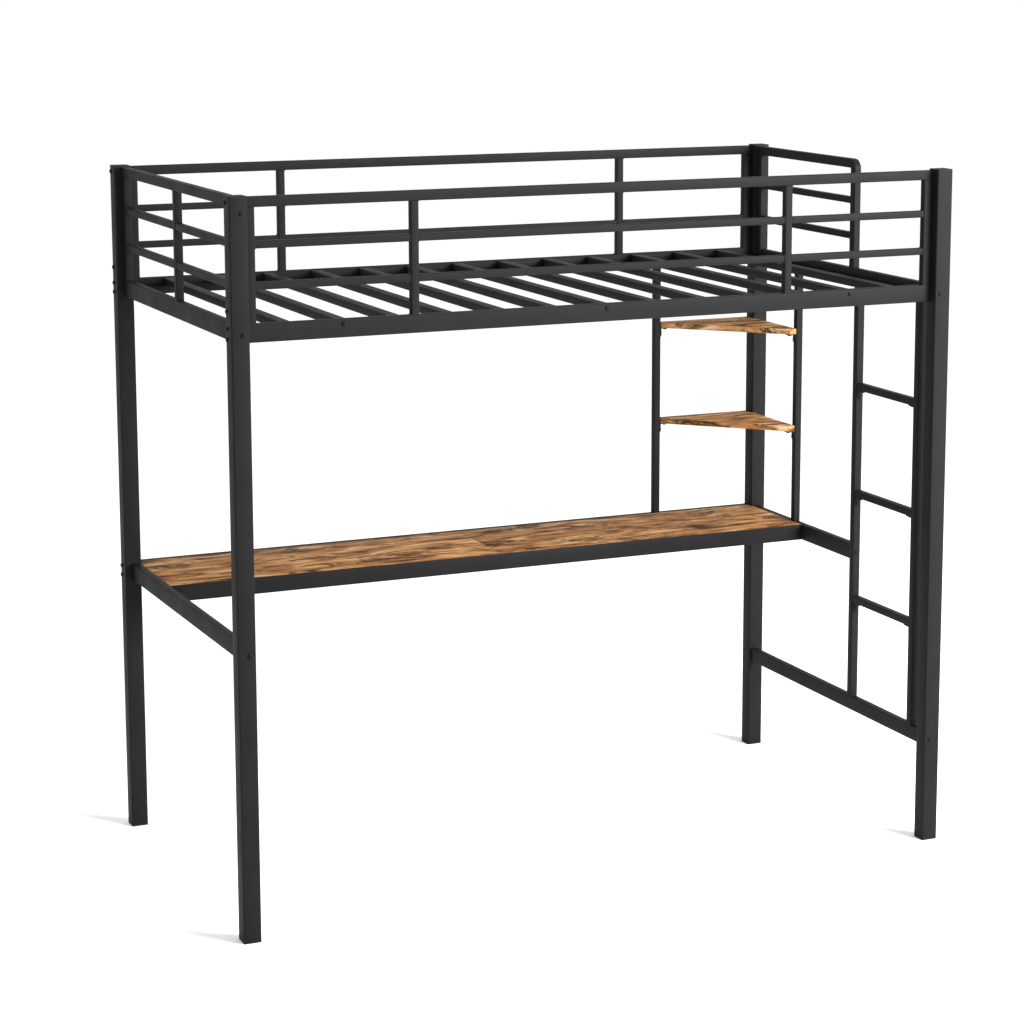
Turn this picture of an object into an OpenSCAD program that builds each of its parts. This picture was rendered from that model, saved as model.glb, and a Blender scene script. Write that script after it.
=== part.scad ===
// Loft bed with a desk and two corner shelves, bolted together from steel tube.
// Millimetres. Origin at the centre of the footprint on the floor, +Z up.
// X runs along the bed with the ladder at +X. -Y is the front, where one sits at the desk.

/* [Overall] */
// Length over the posts
bed_length = 1979; // [1640:1:2400]
// Width over the posts
bed_width = 1049; // [870:1:1400]
// Height over the post caps
bed_height = 1831; // [1740:1:2200]

/* [Posts] */
// Side of the square post tube
post_size = 45; // [38:1:56]
// Wall of the post tube
post_wall = 1.2; // [1:0.1:3]
// Outer corner radius of the post tube
post_corner = 3; // [2:0.5:5]
// Thickness of the cap and of the foot that show past the tube
cap_thick = 4; // [3:0.5:8]
// Depth of the plug on a cap or foot inside the tube
cap_plug = 8; // [4:1:9]

/* [Rails] */
// Height of the bed, desk and base rails
rail_height = 45; // [38:1:56]
// Thickness of the rails, guard tubes and shelf legs
rail_thick = 20; // [16:1:25]
// Wall of the rail tubes
rail_wall = 1; // [0.8:0.1:2.5]
// Outer corner radius of the rail tubes
rail_corner = 2; // [1.6:0.1:3]
// Underside of the bed rails above the floor
bed_rail_z = 1480; // [1300:1:1560]
// How far the end rails sit in from the outer faces of the posts
end_recess = 19.5; // [12:0.5:22]
// How far the front rails sit in from the outer faces of the posts
front_recess = 25; // [12:0.5:25]

/* [Guards] */
// Height of the top guard rail, and width of the uprights beside the posts
guard_top_h = 25; // [20:1:30]
// Side of the square middle guard rails
guard_mid = 18; // [12:1:20]
// Distance of the long sides' inner uprights from the middle of the bed
upright_offset = 515; // [300:1:640]
// Opening between the front post and the guard hoop, where one climbs in
entry_gap = 391.5; // [300:0.5:450]
// Inner radius of the bend in the guard hoop
hoop_bend = 4; // [3:0.5:40]

/* [Slats] */
// Number of slats
slat_count = 13; // [9:1:15]
// Width of a slat
slat_w = 30; // [20:1:40]
// Height of a slat
slat_h = 20; // [16:1:25]
// Depth of the slat tops below the top of the bed rails
slat_drop = 2; // [0:0.5:8]
// Distance from the end rails to the middle of the first slat
slat_end_gap = 110; // [60:1:130]
// Slats between one bolted slat and the next
slat_bolt_step = 5; // [2:1:6]
// Width of the ledge that carries the slats
ledge_w = 20; // [15:1:30]
// Thickness of the ledge
ledge_t = 2; // [1.5:0.5:3]

/* [Ladder] */
// Side of the square ladder tubes
ladder_tube = 22; // [20:1:28]
// Clear width between the ladder tubes
ladder_clear = 300; // [280:1:320]
// Gap between the front ladder tube and the front post
ladder_post_gap = 38.5; // [20:0.5:60]
// Number of rungs
rung_count = 3; // [2:1:4]
// Height of the middle of the lowest rung above the floor
rung_first = 587.5; // [540:0.5:620]
// Rise from rung to rung
rung_rise = 304.5; // [220:0.5:310]
// Underside of the base rail above the floor
base_rail_z = 264; // [150:1:300]
// Height of the base rail
base_rail_h = 40; // [30:1:50]

/* [Desk] */
// Underside of the desk rails above the floor
desk_rail_z = 701; // [640:1:720]
// Depth of the desk, from its front edge to the outer face of the rear posts
desk_depth = 344.5; // [300:0.5:420]
// Thickness of the desk boards
desk_board_t = 15; // [12:1:20]
// Thickness of the steel angle along the front edge
desk_angle_t = 2; // [1.5:0.5:3]
// Width of the angle's leg under the boards
desk_angle_leg = 25; // [20:1:40]
// Gap between the two boards, and round them
board_gap = 0.5; // [0.2:0.1:2]
// Number of cross supports under the boards
desk_support_count = 3; // [2:1:5]

/* [Shelves] */
// Thickness of the shelves
shelf_t = 16; // [12:1:22]
// Clear height between the desk and the lower shelf, and from shelf to shelf
shelf_space = 269.2; // [220:0.1:290]
// Distance from the rear post to the shelf leg on the rear side
shelf_run_x = 295.5; // [200:0.5:360]
// Distance from the rear post to the shelf leg on the end side
shelf_run_y = 233.5; // [160:0.5:280]
// Width of a shelf's tips at the two legs
shelf_tip = 20; // [15:1:30]
// Gap between a shelf and the posts and legs round it
shelf_gap = 1; // [0.5:0.5:3]

/* [Fasteners] */
// Thread diameter of the frame bolts
bolt_d = 6; // [5:0.5:8]
// Extra diameter of the holes that a bolt passes through
bolt_clear = 0.6; // [0.3:0.1:1.5]
// Head diameter of the frame bolts
head_d = 12; // [10:0.5:14]
// Height of the bolt heads
head_h = 3.6; // [2.5:0.1:5]
// Outer diameter of the threaded inserts
insert_d = 10; // [9:0.5:12]
// Length of the threaded inserts
insert_len = 14; // [10:1:20]
// Thickness of the plates that close the rail ends
end_plate_t = 3; // [2:0.5:5]
// Thickness of the small angle brackets
bracket_t = 2.5; // [2:0.5:4]
// Length of each leg of the small angle brackets
bracket_leg = 28; // [22:1:36]
// Width of the small angle brackets
bracket_w = 18; // [14:1:20]
// Thread diameter of the wood screws
screw_d = 4; // [3:0.5:5]

/* [Hidden] */
$fn = 32;
STEEL = "#3d3d40";
WOOD = "#8f5f38";
PLASTIC = "#1d1d1f";
BOLT = "#161617";

// Posts
post_x = bed_length / 2 - post_size / 2;
post_y = bed_width / 2 - post_size / 2;
in_x = bed_length / 2 - post_size;
in_y = bed_width / 2 - post_size;
post_top = bed_height - cap_thick;

// Planes of the four sides, at the middle of their tubes
front_y = -bed_width / 2 + front_recess + rail_thick / 2;
rear_y = bed_width / 2 - rail_thick / 2;
end_x = bed_length / 2 - end_recess - rail_thick / 2;
end_in = end_x - rail_thick / 2;

// Heights of the bed
bed_rail_top = bed_rail_z + rail_height;
bed_rail_mid = bed_rail_z + rail_height / 2;
top_rail_z = post_top - guard_top_h;
guard_clear = top_rail_z - bed_rail_top;
guard_step = (guard_clear - 2 * guard_mid) / 3;
mid_rail_z = [for (i = [0:1]) bed_rail_top + guard_step * (i + 1) + guard_mid * i];
slat_z = bed_rail_top - slat_drop - slat_h;
slat_pitch = 2 * (end_in - slat_end_gap) / (slat_count - 1);
slat_x = [for (i = [0:slat_count - 1]) -end_in + slat_end_gap + i * slat_pitch];
slat_mid = floor((slat_count - 1) / 2);
bolted_slats = [for (i = [-1:1]) slat_x[slat_mid + i * slat_bolt_step]];
slat_front = front_y + rail_thick / 2 + ledge_t;
slat_rear = rear_y - rail_thick / 2 - ledge_t;
ledge_lift = 3;

// Ladder and guard hoop
ladder_front_y = -in_y + ladder_post_gap + ladder_tube / 2;
ladder_rear_y = ladder_front_y + ladder_clear + ladder_tube;
hoop_y = -in_y + entry_gap + guard_top_h / 2;
base_rail_top = base_rail_z + base_rail_h;
rung_z = [for (i = [0:rung_count - 1]) rung_first + i * rung_rise];

// Desk
desk_top = desk_rail_z + rail_height;
desk_mid = desk_rail_z + rail_height / 2;
desk_front_y = bed_width / 2 - desk_depth;
desk_board_front = desk_front_y + desk_angle_t + board_gap;
desk_board_rear = rear_y - rail_thick / 2 - board_gap;
desk_board_z = desk_top - desk_board_t;
support_z = desk_board_z - rail_thick;
support_rear = rear_y - rail_thick / 2;
support_pitch = 2 * end_in / (desk_support_count + 1);
support_x = [for (i = [1:desk_support_count]) -end_in + i * support_pitch + support_shift(i)];
screw_inset = 60;
screw_bite = 10;

// Shelves
shelf_leg_x = in_x - shelf_run_x - rail_thick / 2;
shelf_leg_y = in_y - shelf_run_y - rail_thick / 2;
shelf_z = [desk_top + shelf_space, desk_top + 2 * shelf_space + shelf_t];
shelf_back = rear_y + rail_thick / 2 - shelf_gap * 1.5;
shelf_left = shelf_leg_x + rail_thick / 2 + shelf_gap;
shelf_front = shelf_leg_y - rail_thick / 2;
shelf_right = end_in - shelf_gap * 2;
shelf_bolt_bite = 10;
tube_bolt_bite = 7;

// Fasteners
hole_d = bolt_d + bolt_clear;
bed_boss_clear = 4;
desk_boss_clear = 3.5;
bed_bolt_split = rail_height / 2 - rail_wall - insert_d / 2 - bed_boss_clear;
desk_bolt_split = rail_height / 2 - rail_wall - insert_d / 2 - desk_boss_clear;
upright_bolt_rise = 32;
upright_bolt_drop = 13;
side_z_bed = [bed_rail_mid - bed_bolt_split, bed_rail_mid + bed_bolt_split];
side_z_upright = bed_rail_top + upright_bolt_rise;
side_z_top = top_rail_z + guard_top_h / 2;
side_z_desk = [desk_mid - desk_bolt_split, desk_mid + desk_bolt_split];
side_z_front = concat(side_z_bed, [side_z_upright, side_z_top]);
side_z_rear = concat(side_z_front, side_z_desk);
end_z_upper = top_rail_z - upright_bolt_drop;
end_z_base = base_rail_z + base_rail_h / 2;
end_z_left = [desk_mid, bed_rail_mid, end_z_upper];
end_z_front_right = [end_z_base, bed_rail_mid];
end_z_rear_right = [end_z_base, desk_mid, bed_rail_mid, end_z_upper];
bolt_past = 12;
bracket_hole = bracket_leg - 10;
side_bolt_len = post_size + bolt_past;

// The middle support stands clear of the seam between the boards.
function support_shift(i) =
    (desk_support_count % 2 == 1 && i == (desk_support_count + 1) / 2) ? 30 : 0;

// ---------- Shapes that repeat ----------

module rounded(w, h, r) {
    square([w - 2 * r, h], center = true);
    square([w, h - 2 * r], center = true);
    for (x = [-1, 1], y = [-1, 1])
        translate([x * (w / 2 - r), y * (h / 2 - r)]) circle(r);
}

// Section of a tube, w along the first axis and h along the second
module section(w, h, wall = rail_wall, r = rail_corner) {
    difference() {
        rounded(w, h, r);
        rounded(w - 2 * wall, h - 2 * wall, max(r - wall, 0.1));
    }
}

// Tubes that run along one axis; y and z are the middle of the section
module tube_x(x0, x1, y, z, w, h) {
    translate([x0, y, z]) rotate([90, 0, 90]) linear_extrude(x1 - x0) section(w, h);
}
module tube_y(y0, y1, x, z, w, h) {
    translate([x, y1, z]) rotate([90, 0, 0]) linear_extrude(y1 - y0) section(w, h);
}
module tube_z(z0, z1, x, y, w, h) {
    translate([x, y, z0]) linear_extrude(z1 - z0) section(w, h);
}

// A hole right through along one axis
module hole_x(x0, x1, y, z, d = hole_d) {
    translate([x0, y, z]) rotate([0, 90, 0]) cylinder(d = d, h = x1 - x0);
}
module hole_y(y0, y1, x, z, d = hole_d) {
    translate([x, y0, z]) rotate([-90, 0, 0]) cylinder(d = d, h = y1 - y0);
}
module hole_z(z0, z1, x, y, d = hole_d) {
    translate([x, y, z0]) cylinder(d = d, h = z1 - z0);
}

// Button head bolt: the head stands below z = 0 and the shank points along +Z.
module bolt(len, d = bolt_d, head = head_d, high = head_h) {
    dome = (head * head / 4 + high * high) / (2 * high);
    union() {
        difference() {
            intersection() {
                translate([0, 0, -high]) cylinder(d = head, h = high);
                translate([0, 0, dome - high]) sphere(r = dome, $fn = 48);
            }
            translate([0, 0, -high - 1]) cylinder(d = d * 0.7, h = high * 0.6 + 1, $fn = 6);
        }
        cylinder(d = d, h = len);
    }
}
module bolt_to_px(x, y, z, len) {
    translate([x, y, z]) rotate([0, 90, 0]) bolt(len);
}
module bolt_to_nx(x, y, z, len) {
    translate([x, y, z]) rotate([0, -90, 0]) bolt(len);
}
module bolt_to_py(x, y, z, len) {
    translate([x, y, z]) rotate([-90, 0, 0]) bolt(len);
}
module bolt_to_ny(x, y, z, len) {
    translate([x, y, z]) rotate([90, 0, 0]) bolt(len);
}

// Plate that closes a tube end, with a threaded boss at each offset along the first axis
module end_plate(w, h, offsets = [0]) {
    difference() {
        union() {
            linear_extrude(end_plate_t)
                rounded(w - 2 * rail_wall, h - 2 * rail_wall, rail_corner - rail_wall);
            for (s = offsets) translate([s, 0, 0]) cylinder(d = insert_d, h = insert_len);
        }
        for (s = offsets)
            translate([s, 0, -1]) cylinder(d = bolt_d, h = insert_len + 2);
    }
}

// Threaded bush that stands in the wall of an upright
module bush() {
    difference() {
        cylinder(d = insert_d, h = insert_len);
        translate([0, 0, -1]) cylinder(d = bolt_d, h = insert_len + 2);
    }
}

// Small angle bracket: one leg along +X under a board, the other down along -Z on a tube.
// Its corner is at the origin and its width is centred on Y.
module bracket(down = bracket_leg) {
    difference() {
        union() {
            translate([0, -bracket_w / 2, -bracket_t]) cube([bracket_leg, bracket_w, bracket_t]);
            translate([0, 0, -down + bracket_w / 2]) rotate([90, 0, 90])
                linear_extrude(bracket_t) {
                    circle(d = bracket_w);
                    translate([-bracket_w / 2, 0]) square([bracket_w, down - bracket_w / 2]);
                }
        }
        translate([bracket_hole, 0, -bracket_t - 1]) cylinder(d = hole_d, h = bracket_t + 2);
        translate([-1, 0, -bracket_hole]) rotate([0, 90, 0]) cylinder(d = hole_d, h = bracket_t + 2);
    }
}

// ---------- Posts ----------

module post(sx, sy, side_y, side_z, end_z) {
    x = sx * post_x;
    y = sy * post_y;
    color(STEEL) difference() {
        translate([x, y, cap_thick]) linear_extrude(post_top - cap_thick)
            section(post_size, post_size, post_wall, post_corner);
        for (z = side_z) hole_x(x - post_size, x + post_size, side_y, z);
        for (z = end_z) hole_y(y - post_size, y + post_size, sx * end_x, z);
    }
}
module post_front_left() { post(-1, -1, front_y, side_z_front, end_z_left); }
module post_front_right() { post(1, -1, front_y, side_z_front, end_z_front_right); }
module post_rear_left() { post(-1, 1, rear_y, side_z_rear, end_z_left); }
module post_rear_right() {
    difference() {
        post(1, 1, rear_y, side_z_rear, end_z_rear_right);
        for (z = shelf_z)
            hole_x(in_x - 1, post_x, bracket_post_y, z - bracket_hole, bolt_d);
    }
}

module at_posts() {
    for (sx = [-1, 1], sy = [-1, 1]) translate([sx * post_x, sy * post_y, 0]) children();
}
module post_plug(wall) {
    side = post_size - 2 * wall;
    linear_extrude(cap_plug) rounded(side, side, post_corner - wall);
}
module post_top_caps() {
    color(PLASTIC) at_posts() {
        translate([0, 0, post_top - cap_plug]) post_plug(post_wall);
        translate([0, 0, post_top]) linear_extrude(cap_thick - 1)
            rounded(post_size, post_size, post_corner);
        translate([0, 0, bed_height - 1]) linear_extrude(1)
            rounded(post_size - 2, post_size - 2, post_corner - 1);
    }
}
module post_foot_caps() {
    color(PLASTIC) at_posts() {
        linear_extrude(cap_thick) rounded(post_size, post_size, post_corner);
        translate([0, 0, cap_thick]) post_plug(post_wall);
    }
}

// ---------- Long sides ----------

module side_bed_rail(y) {
    color(STEEL) difference() {
        tube_x(-in_x, in_x, y, bed_rail_mid, rail_thick, rail_height);
        for (x = bolted_slats) hole_y(y - rail_thick, y + rail_thick, x, slat_z + slat_h / 2);
    }
}
module side_top_rail(y) {
    color(STEEL) tube_x(-in_x, in_x, y, side_z_top, rail_thick, guard_top_h);
}
module side_end_uprights(y) {
    color(STEEL) for (s = [-1, 1]) {
        x = s * (in_x - guard_top_h / 2);
        difference() {
            tube_z(bed_rail_top, top_rail_z, x, y, guard_top_h, rail_thick);
            translate([s * in_x, y, side_z_upright]) rotate([0, -90 * s, 0])
                translate([0, 0, -1]) cylinder(d = insert_d, h = rail_wall + 2);
        }
    }
}
module side_uprights(y) {
    color(STEEL) for (s = [-1, 1])
        tube_z(bed_rail_top, top_rail_z, s * upright_offset, y, rail_thick, rail_thick);
}
module side_mid_rails(y) {
    stops = [-in_x + guard_top_h, -upright_offset - rail_thick / 2,
        -upright_offset + rail_thick / 2, upright_offset - rail_thick / 2,
        upright_offset + rail_thick / 2, in_x - guard_top_h];
    color(STEEL) for (z = mid_rail_z, i = [0:2])
        tube_x(stops[2 * i], stops[2 * i + 1], y, z + guard_mid / 2, guard_mid, guard_mid);
}
module front_bed_rail() { side_bed_rail(front_y); }
module front_top_rail() { side_top_rail(front_y); }
module front_end_uprights() { side_end_uprights(front_y); }
module front_uprights() { side_uprights(front_y); }
module front_mid_rails() { side_mid_rails(front_y); }
module rear_bed_rail() { side_bed_rail(rear_y); }
module rear_top_rail() { side_top_rail(rear_y); }
module rear_end_uprights() { side_end_uprights(rear_y); }
module rear_uprights() { side_uprights(rear_y); }
module rear_mid_rails() { side_mid_rails(rear_y); }

// ---------- Ends ----------

module end_rail(sx, z, h, y0 = -in_y, y1 = in_y) {
    color(STEEL) tube_y(y0, y1, sx * end_x, z, rail_thick, h);
}
module end_upright(sx, sy) {
    y = sy * (in_y - guard_top_h / 2);
    difference() {
        tube_z(bed_rail_top, top_rail_z, sx * end_x, y, rail_thick, guard_top_h);
        translate([sx * end_x, sy * in_y, end_z_upper]) rotate([90 * sy, 0, 0])
            translate([0, 0, -1]) cylinder(d = insert_d, h = rail_wall + 2);
    }
}
module left_bed_rail() { end_rail(-1, bed_rail_mid, rail_height); }
module left_top_rail() { end_rail(-1, side_z_top, guard_top_h); }
module left_end_uprights() {
    color(STEEL) for (sy = [-1, 1]) end_upright(-1, sy);
}
module left_centre_upright() {
    color(STEEL) tube_z(bed_rail_top, top_rail_z, -end_x, 0, rail_thick, rail_thick);
}
module left_mid_rails() {
    color(STEEL) for (z = mid_rail_z, s = [-1, 1]) {
        y0 = s > 0 ? rail_thick / 2 : -in_y + guard_top_h;
        y1 = s > 0 ? in_y - guard_top_h : -rail_thick / 2;
        tube_y(y0, y1, -end_x, z + guard_mid / 2, guard_mid, guard_mid);
    }
}
module right_bed_rail() { end_rail(1, bed_rail_mid, rail_height); }
module right_guard_hoop() {
    outer = hoop_bend + guard_top_h;
    bend_y = hoop_y - guard_top_h / 2 + outer;
    bend_z = post_top - outer;
    color(STEEL) union() {
        tube_y(bend_y, in_y, end_x, side_z_top, rail_thick, guard_top_h);
        tube_z(bed_rail_top, bend_z, end_x, hoop_y, rail_thick, guard_top_h);
        translate([end_x, bend_y, bend_z]) rotate([0, -90, 0]) rotate([0, 0, -90])
            rotate_extrude(angle = 90, $fn = 64)
                translate([hoop_bend + guard_top_h / 2, 0]) section(guard_top_h, rail_thick);
    }
}
module right_end_upright() {
    color(STEEL) end_upright(1, 1);
}
module right_mid_rails() {
    color(STEEL) for (z = mid_rail_z)
        tube_y(hoop_y + guard_top_h / 2, in_y - guard_top_h, end_x, z + guard_mid / 2,
            guard_mid, guard_mid);
}

// ---------- Bed base ----------

module bed_slats() {
    color(STEEL) for (x = slat_x)
        tube_y(slat_front, slat_rear, x, slat_z + slat_h / 2, slat_w, slat_h);
}
// Angle with its upright leg on the rail and its other leg under the slats
module slat_ledge(y, s) {
    leg = slat_h;
    color(STEEL) difference() {
        union() {
            translate([-in_x, min(y, y + s * ledge_t), slat_z - ledge_t])
                cube([2 * in_x, ledge_t, leg]);
            translate([-in_x, min(y, y + s * ledge_w), slat_z - ledge_t])
                cube([2 * in_x, ledge_w, ledge_t]);
        }
        for (x = bolted_slats) hole_y(y - 5, y + 5, x, slat_z + slat_h / 2);
    }
}
module slat_ledge_front() { slat_ledge(front_y + rail_thick / 2, 1); }
module slat_ledge_rear() { slat_ledge(rear_y - rail_thick / 2, -1); }
// Angle on an end rail, with its upright leg hanging down to just above the rail's underside
module mattress_ledge(s) {
    y0 = slat_front + ledge_w;
    y1 = in_y;
    z0 = bed_rail_z + ledge_lift;
    color(STEEL) {
        translate([min(s * end_in, s * (end_in - ledge_t)), y0, z0])
            cube([ledge_t, y1 - y0, slat_z - z0]);
        translate([min(s * end_in, s * (end_in - ledge_w)), y0, slat_z - ledge_t])
            cube([ledge_w, y1 - y0, ledge_t]);
    }
}
module mattress_ledge_left() { mattress_ledge(-1); }
module mattress_ledge_right() { mattress_ledge(1); }
module slat_inserts() {
    color(BOLT) for (x = bolted_slats) {
        translate([x, slat_front, slat_z + slat_h / 2]) rotate([-90, 0, 0])
            end_plate(slat_w, slat_h);
        translate([x, slat_rear, slat_z + slat_h / 2]) rotate([90, 0, 0])
            end_plate(slat_w, slat_h);
    }
}
module slat_bolts() {
    len = rail_thick + ledge_t + bolt_past;
    color(BOLT) for (x = bolted_slats) {
        bolt_to_py(x, front_y - rail_thick / 2, slat_z + slat_h / 2, len);
        bolt_to_ny(x, rear_y + rail_thick / 2, slat_z + slat_h / 2, len);
    }
}

// ---------- Ladder ----------

module ladder_upright(y, s, extra = false) {
    color(STEEL) difference() {
        tube_z(base_rail_top, bed_rail_z, end_x, y, ladder_tube, ladder_tube);
        for (z = rung_z)
            translate([end_x, y + s * ladder_tube / 2, z - rail_thick / 2 - bracket_hole])
                rotate([90 * s, 0, 0]) translate([0, 0, -1]) cylinder(d = bolt_d, h = 8);
        if (extra) hole_y(y - ladder_tube, y + ladder_tube, end_x, desk_mid);
    }
}
module ladder_rear_tube() { ladder_upright(ladder_rear_y, -1, true); }
module ladder_front_tube() { ladder_upright(ladder_front_y, 1); }
rung_y0 = ladder_front_y + ladder_tube / 2;
rung_y1 = ladder_rear_y - ladder_tube / 2;
module ladder_rungs() {
    color(STEEL) for (z = rung_z) difference() {
        tube_y(rung_y0, rung_y1, end_x, z, rail_thick, rail_thick);
        for (y = [rung_y0 + bracket_hole, rung_y1 - bracket_hole])
            hole_z(z - rail_thick, z, end_x, y, bolt_d);
    }
}
module at_rung_ends() {
    for (z = rung_z) {
        translate([end_x, rung_y0, z - rail_thick / 2]) rotate([0, 0, 90]) children();
        translate([end_x, rung_y1, z - rail_thick / 2]) rotate([0, 0, -90]) children();
    }
}
module rung_brackets() {
    color(STEEL) at_rung_ends() bracket();
}
// Two short bolts for each bracket: one up into the board or rung, one into the tube
module bracket_bolts(up, side) {
    translate([bracket_hole, 0, -bracket_t]) bolt(up + bracket_t);
    translate([bracket_t, 0, -bracket_hole]) rotate([0, -90, 0]) bolt(side + bracket_t);
}
module rung_bolts() {
    color(BOLT) at_rung_ends() bracket_bolts(tube_bolt_bite, tube_bolt_bite);
}
module base_cross_rail() {
    color(STEEL)
        tube_y(-in_y, in_y, end_x, base_rail_z + base_rail_h / 2, rail_thick, base_rail_h);
}

// ---------- Desk ----------

module desk_front_rail() {
    color(STEEL) {
        translate([-end_in, desk_front_y, desk_rail_z])
            cube([2 * end_in, desk_angle_t, rail_height]);
        translate([-end_in, desk_front_y, desk_board_z - desk_angle_t])
            cube([2 * end_in, desk_angle_leg, desk_angle_t]);
    }
}
module desk_rear_rail() {
    color(STEEL) tube_x(-in_x, in_x, rear_y, desk_mid, rail_thick, rail_height);
}
module desk_left_rail() {
    color(STEEL) tube_y(-in_y, in_y, -end_x, desk_mid, rail_thick, rail_height);
}
module desk_right_rail() {
    color(STEEL) tube_y(ladder_rear_y + ladder_tube / 2, in_y, end_x, desk_mid,
        rail_thick, rail_height);
}
support_y0 = desk_front_y + desk_angle_leg;
screw_y = [support_y0 + screw_inset, support_rear - screw_inset];
module desk_supports() {
    color(STEEL) for (x = support_x) difference() {
        tube_y(support_y0, support_rear, x, support_z + rail_thick / 2, rail_thick, rail_thick);
        for (y = screw_y) hole_z(support_z - 1, desk_board_z + 1, x, y, screw_d);
    }
}
module desk_board(s) {
    x0 = s < 0 ? -end_in + board_gap : board_gap / 2;
    x1 = s < 0 ? -board_gap / 2 : end_in - board_gap;
    color(WOOD) difference() {
        translate([x0, desk_board_front, desk_board_z])
            cube([x1 - x0, desk_board_rear - desk_board_front, desk_board_t]);
        translate([s * (in_x + post_size / 2 - board_gap), in_y + post_size / 2 - board_gap,
            desk_board_z + desk_board_t / 2])
            cube([post_size, post_size, 2 * desk_board_t], center = true);
        for (x = support_x, y = screw_y)
            hole_z(desk_board_z - 1, desk_board_z + screw_bite, x, y, screw_d);
    }
}
module desk_board_left() { desk_board(-1); }
module desk_board_right() { desk_board(1); }
module desk_screws() {
    color(BOLT) for (x = support_x, y = screw_y) translate([x, y, support_z])
        bolt(rail_thick + screw_bite, screw_d, screw_d * 2, screw_d * 0.6);
}

// ---------- Shelves ----------

bracket_rear_y = rear_y - shelf_gap;
bracket_post_y = in_y + bracket_w / 2 + post_corner;
shelf_holes = [[shelf_leg_x + rail_thick / 2 + bracket_hole, bracket_rear_y],
    [end_in - bracket_hole, shelf_leg_y], [in_x - bracket_hole, bracket_post_y]];
module shelf(z) {
    notch_x = in_x - shelf_gap;
    notch_y = in_y - shelf_gap;
    color(WOOD) difference() {
        translate([0, 0, z]) linear_extrude(shelf_t) polygon([
            [shelf_left, shelf_back], [notch_x, shelf_back], [notch_x, notch_y],
            [shelf_right, notch_y], [shelf_right, shelf_front],
            [shelf_right - shelf_tip, shelf_front], [shelf_left, shelf_back - shelf_tip]]);
        for (p = shelf_holes)
            hole_z(z - 1, z + shelf_bolt_bite, p[0], p[1], bolt_d);
    }
}
module shelf_lower() { shelf(shelf_z[0]); }
module shelf_upper() { shelf(shelf_z[1]); }
module shelf_rear_leg() {
    color(STEEL) difference() {
        tube_z(desk_top, bed_rail_z, shelf_leg_x, rear_y, rail_thick, rail_thick);
        for (z = shelf_z)
            hole_x(shelf_leg_x, shelf_leg_x + rail_thick, bracket_rear_y, z - bracket_hole,
                bolt_d);
    }
}
module shelf_side_leg() {
    color(STEEL) difference() {
        tube_z(desk_top, bed_rail_z, end_x, shelf_leg_y, rail_thick, rail_thick);
        for (z = shelf_z)
            hole_x(end_x - rail_thick, end_x, shelf_leg_y, z - bracket_hole, bolt_d);
    }
}
module at_shelf_brackets() {
    for (z = shelf_z) {
        translate([shelf_leg_x + rail_thick / 2, bracket_rear_y, z]) children();
        translate([end_in, shelf_leg_y, z]) rotate([0, 0, 180]) children();
        translate([in_x, bracket_post_y, z]) rotate([0, 0, 180]) children();
    }
}
module shelf_brackets() {
    color(STEEL) at_shelf_brackets() bracket();
}
module shelf_bolts() {
    color(BOLT) at_shelf_brackets() bracket_bolts(shelf_bolt_bite, tube_bolt_bite);
}

// ---------- Frame bolts and what they thread into ----------

module side_frame_bolts() {
    color(BOLT) for (s = [-1, 1]) {
        for (z = side_z_front) side_bolt(s, front_y, z);
        for (z = side_z_rear) side_bolt(s, rear_y, z);
    }
}
module side_bolt(s, y, z) {
    if (s > 0) bolt_to_nx(bed_length / 2, y, z, side_bolt_len);
    else bolt_to_px(-bed_length / 2, y, z, side_bolt_len);
}
module end_frame_bolts() {
    color(BOLT) {
        for (z = end_z_left) {
            bolt_to_py(-end_x, -bed_width / 2, z, side_bolt_len);
            bolt_to_ny(-end_x, bed_width / 2, z, side_bolt_len);
        }
        for (z = end_z_front_right) bolt_to_py(end_x, -bed_width / 2, z, side_bolt_len);
        for (z = end_z_rear_right) bolt_to_ny(end_x, bed_width / 2, z, side_bolt_len);
    }
}
module desk_ladder_bolt() {
    color(BOLT) bolt_to_py(end_x, ladder_rear_y - ladder_tube / 2, desk_mid,
        ladder_tube + bolt_past);
}
// A plate at each end of a rail that runs along X
module x_plates(y, z, h, offsets) {
    for (s = [-1, 1]) translate([s * in_x, y, z]) rotate([0, -90 * s, 0])
        end_plate(h, rail_thick, offsets);
}
// A plate at one end of a rail that runs along Y; s points into the rail
module y_plate(x, y, z, h, s) {
    translate([x, y, z]) rotate([-90 * s, 0, 0]) rotate([0, 0, 90]) end_plate(h, rail_thick);
}
module side_rail_inserts() {
    color(BOLT) {
        for (y = [front_y, rear_y]) {
            x_plates(y, bed_rail_mid, rail_height, [-bed_bolt_split, bed_bolt_split]);
            x_plates(y, side_z_top, guard_top_h, [0]);
        }
        x_plates(rear_y, desk_mid, rail_height, [-desk_bolt_split, desk_bolt_split]);
    }
}
module end_rail_inserts() {
    color(BOLT) {
        for (sx = [-1, 1], sy = [-1, 1])
            y_plate(sx * end_x, sy * in_y, bed_rail_mid, rail_height, -sy);
        for (sy = [-1, 1]) {
            y_plate(-end_x, sy * in_y, desk_mid, rail_height, -sy);
            y_plate(end_x, sy * in_y, end_z_base, base_rail_h, -sy);
        }
        y_plate(end_x, in_y, desk_mid, rail_height, -1);
        y_plate(end_x, ladder_rear_y + ladder_tube / 2, desk_mid, rail_height, 1);
    }
}
module upright_inserts() {
    color(BOLT) {
        for (s = [-1, 1], y = [front_y, rear_y])
            translate([s * in_x, y, side_z_upright]) rotate([0, -90 * s, 0]) bush();
        for (p = [[-1, -1], [-1, 1], [1, 1]])
            translate([p[0] * end_x, p[1] * in_y, end_z_upper]) rotate([90 * p[1], 0, 0]) bush();
    }
}

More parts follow.
